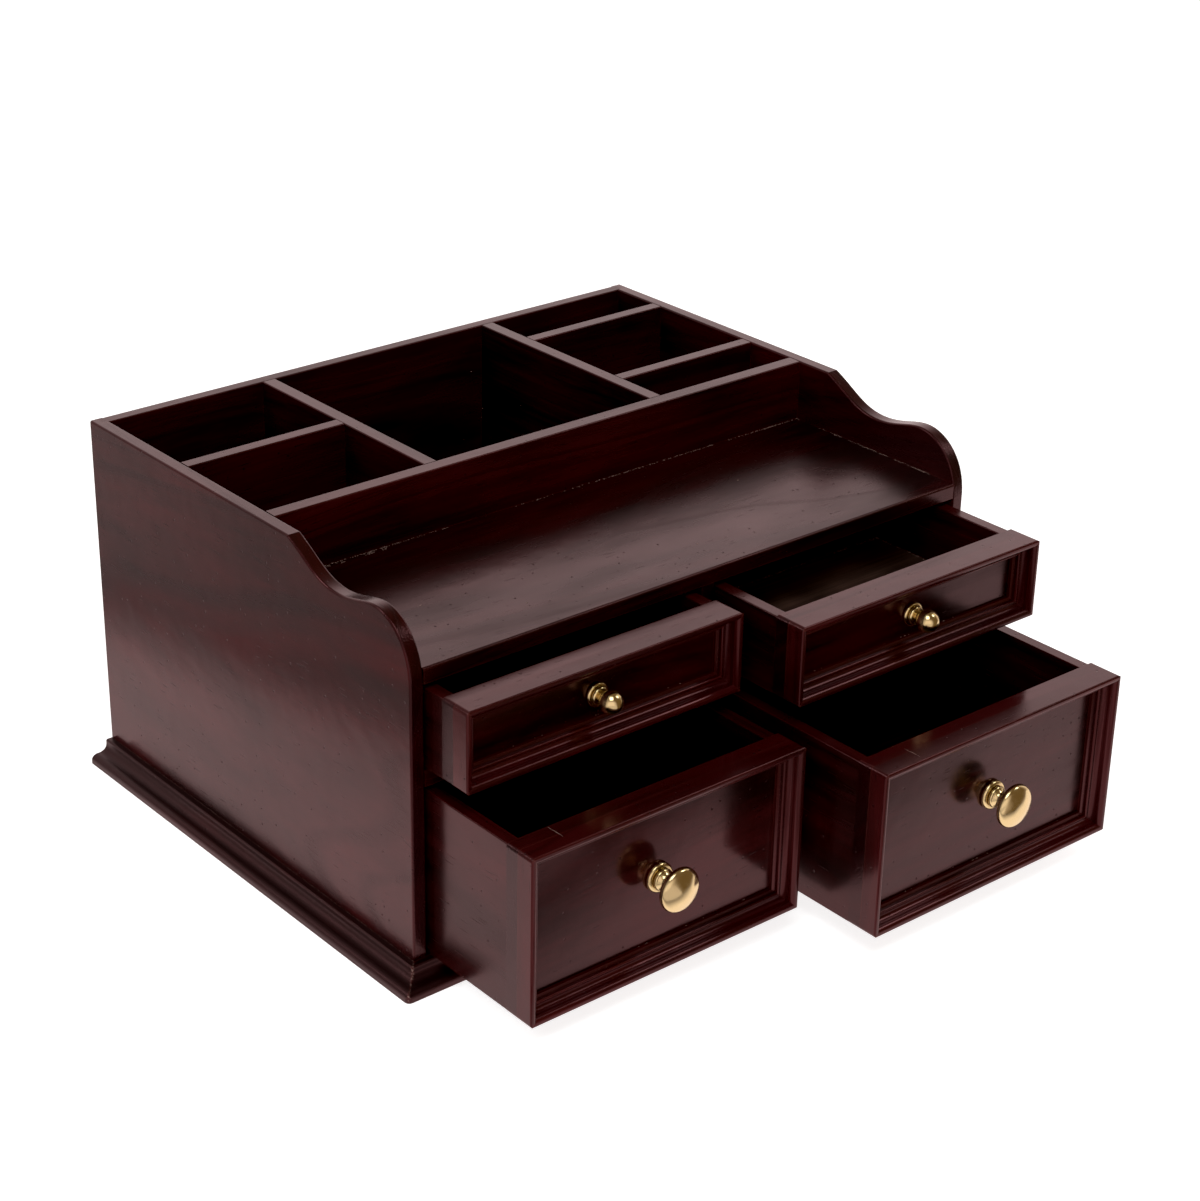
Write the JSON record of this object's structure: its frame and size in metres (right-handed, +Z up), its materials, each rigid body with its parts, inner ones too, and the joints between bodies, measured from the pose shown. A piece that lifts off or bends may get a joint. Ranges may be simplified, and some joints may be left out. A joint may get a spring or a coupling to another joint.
{
  "type": "desk organizer with drawers",
  "caption": "Stained wooden desk organizer with scrolled sides, open compartments behind a low shelf and framed drawers with brass knobs on a moulded base.",
  "frame": {"origin": "on the surface that the organizer stands on, under the middle of the carcass without its drawers", "axes": "+X to the right along the front, +Y to the back, +Z up"},
  "size_m": [0.43, 0.4548, 0.22],
  "materials": {
    "stained_wood": "satin lacquer over dark red-brown stain",
    "knob_brass": "polished"
  },
  "bodies": {
    "carcass": {"left_side_panel": "stained_wood", "right_side_panel": "stained_wood", "back_panel": "stained_wood", "base_board": "stained_wood", "middle_board": "stained_wood", "shelf_board": "stained_wood", "compartment_front_wall": "stained_wood", "left_partition": "stained_wood", "right_partition": "stained_wood", "left_cross_divider": "stained_wood", "right_rear_cross_divider": "stained_wood", "right_front_cross_divider": "stained_wood", "upper_drawer_divider": "stained_wood", "lower_drawer_divider": "stained_wood", "base_moulding_front": "stained_wood", "base_moulding_left": "stained_wood", "base_moulding_right": "stained_wood"},
    "upper_left_drawer": {"upper_left_drawer_front_board": "stained_wood", "upper_left_drawer_moulding_top": "stained_wood", "upper_left_drawer_moulding_bottom": "stained_wood", "upper_left_drawer_moulding_left": "stained_wood", "upper_left_drawer_moulding_right": "stained_wood", "upper_left_drawer_side_left": "stained_wood", "upper_left_drawer_side_right": "stained_wood", "upper_left_drawer_back": "stained_wood", "upper_left_drawer_bottom": "stained_wood", "upper_left_drawer_knob": "knob_brass"},
    "upper_right_drawer": {"upper_right_drawer_front_board": "stained_wood", "upper_right_drawer_moulding_top": "stained_wood", "upper_right_drawer_moulding_bottom": "stained_wood", "upper_right_drawer_moulding_left": "stained_wood", "upper_right_drawer_moulding_right": "stained_wood", "upper_right_drawer_side_left": "stained_wood", "upper_right_drawer_side_right": "stained_wood", "upper_right_drawer_back": "stained_wood", "upper_right_drawer_bottom": "stained_wood", "upper_right_drawer_knob": "knob_brass"},
    "lower_left_drawer": {"lower_left_drawer_front_board": "stained_wood", "lower_left_drawer_moulding_top": "stained_wood", "lower_left_drawer_moulding_bottom": "stained_wood", "lower_left_drawer_moulding_left": "stained_wood", "lower_left_drawer_moulding_right": "stained_wood", "lower_left_drawer_side_left": "stained_wood", "lower_left_drawer_side_right": "stained_wood", "lower_left_drawer_back": "stained_wood", "lower_left_drawer_bottom": "stained_wood", "lower_left_drawer_knob": "knob_brass"},
    "lower_right_drawer": {"lower_right_drawer_front_board": "stained_wood", "lower_right_drawer_moulding_top": "stained_wood", "lower_right_drawer_moulding_bottom": "stained_wood", "lower_right_drawer_moulding_left": "stained_wood", "lower_right_drawer_moulding_right": "stained_wood", "lower_right_drawer_side_left": "stained_wood", "lower_right_drawer_side_right": "stained_wood", "lower_right_drawer_back": "stained_wood", "lower_right_drawer_bottom": "stained_wood", "lower_right_drawer_knob": "knob_brass"}
  },
  "joints": [
    {"name": "upper_left_drawer_slide", "type": "slide", "parent": "carcass", "child": "upper_left_drawer", "axis": [0, -1, 0], "range_m": [-0.0345, 0.0495]},
    {"name": "upper_right_drawer_slide", "type": "slide", "parent": "carcass", "child": "upper_right_drawer", "axis": [0, -1, 0], "range_m": [-0.068, 0.016]},
    {"name": "lower_left_drawer_slide", "type": "slide", "parent": "carcass", "child": "lower_left_drawer", "axis": [0, -1, 0], "range_m": [-0.0865, 0.1485]},
    {"name": "lower_right_drawer_slide", "type": "slide", "parent": "carcass", "child": "lower_right_drawer", "axis": [0, -1, 0], "range_m": [-0.134, 0.101]}
  ]
}
